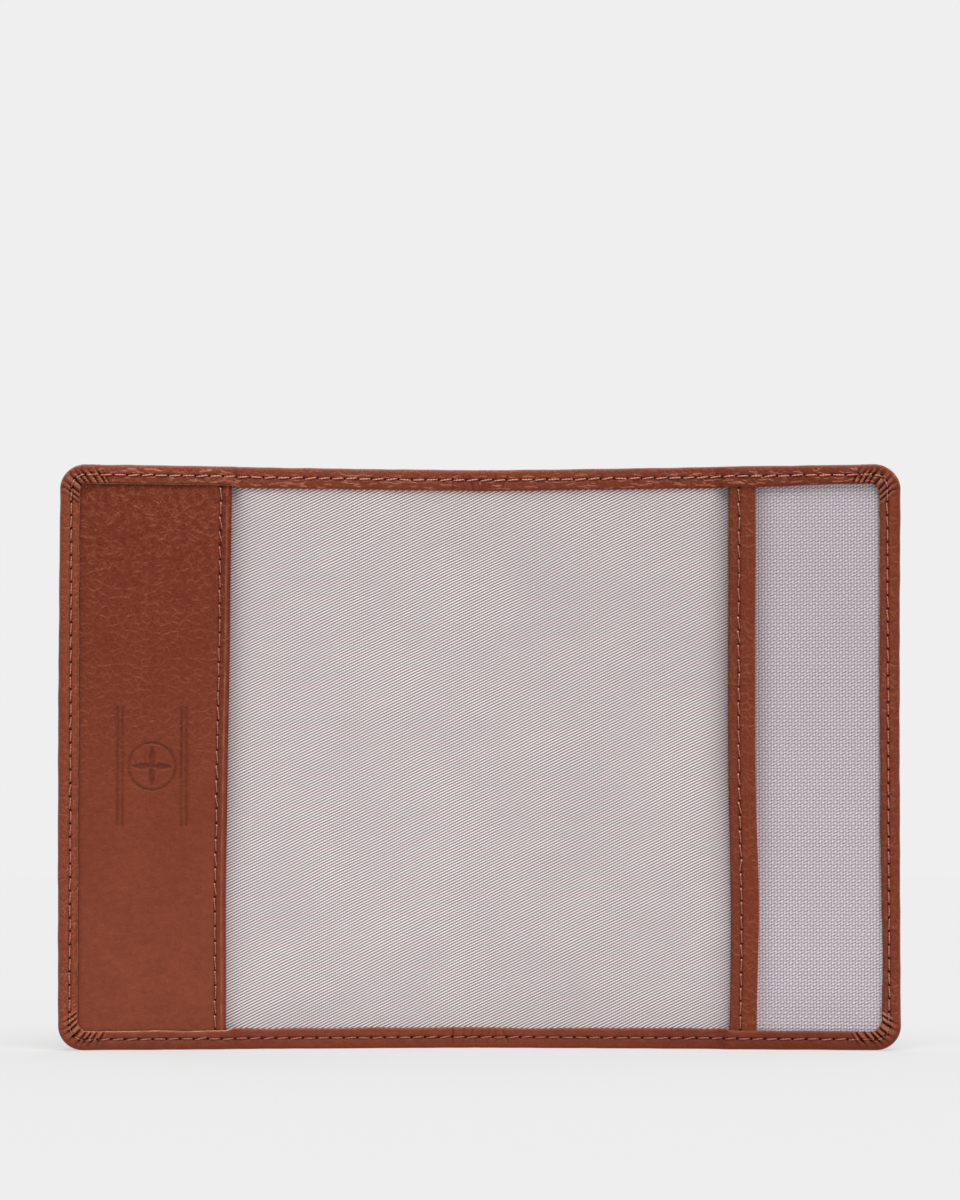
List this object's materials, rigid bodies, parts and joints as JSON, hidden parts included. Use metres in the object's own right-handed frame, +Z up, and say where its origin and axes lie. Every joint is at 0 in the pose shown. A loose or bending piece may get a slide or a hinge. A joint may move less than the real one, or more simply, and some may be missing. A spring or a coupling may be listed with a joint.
{
  "type": "passport cover",
  "caption": "Book-style leather passport cover, open and standing on its edge, with stitched turned edges, cloth lining, a leather pocket and a bound woven pocket.",
  "frame": {"origin": "middle of the footprint: the bottom centre of the bounding box of the open, standing cover", "axes": "+X along the open cover's width, from the front leaf with the leather pocket to the back leaf with the woven pocket; +Y from the inside of the cover towards the spine's outer face; +Z up along the spine"},
  "size_m": [0.201, 0.0169, 0.14],
  "materials": {
    "leather": "pebbled brown leather, semi-matt",
    "board": "bonded fibre board",
    "lining": "grey-beige twill with a soft sheen",
    "woven": "coarse lilac-grey plain weave",
    "thread": "waxed tan thread"
  },
  "bodies": {
    "spine": {"spine_cover_panel": "leather", "spine_lining": "lining", "spine_turned_edge_top": "leather", "spine_turned_edge_bottom": "leather", "spine_needle_thread_top": "thread", "spine_needle_thread_bottom": "thread", "spine_bobbin_thread_top": "thread", "spine_bobbin_thread_bottom": "thread"},
    "front_cover": {"front_cover_panel": "leather", "front_stiffener_board": "board", "front_lining": "lining", "front_turned_edge_top": "leather", "front_turned_edge_bottom": "leather", "front_turned_edge_side": "leather", "front_gathered_corner_top": "leather", "front_gathered_corner_bottom": "leather", "front_perimeter_needle_thread": "thread", "front_perimeter_bobbin_thread": "thread", "front_leather_pocket": "leather", "front_pocket_backing": "lining", "front_pocket_seam_thread": "thread"},
    "back_cover": {"back_cover_panel": "leather", "back_stiffener_board": "board", "back_lining": "lining", "back_turned_edge_top": "leather", "back_turned_edge_bottom": "leather", "back_turned_edge_side": "leather", "back_gathered_corner_top": "leather", "back_gathered_corner_bottom": "leather", "back_perimeter_needle_thread": "thread", "back_perimeter_bobbin_thread": "thread", "back_woven_pocket": "woven", "back_pocket_binding": "leather", "back_binding_seam_thread": "thread"}
  },
  "joints": [
    {"name": "front_cover_fold", "type": "hinge", "parent": "spine", "child": "front_cover", "pos_m": [-0.004, 0.0058, 0.07], "axis": [0, 0, 1], "range_deg": [-7.5, 82.5]},
    {"name": "back_cover_fold", "type": "hinge", "parent": "spine", "child": "back_cover", "pos_m": [0.004, 0.0058, 0.07], "axis": [0, 0, -1], "range_deg": [-7.5, 82.5]}
  ]
}
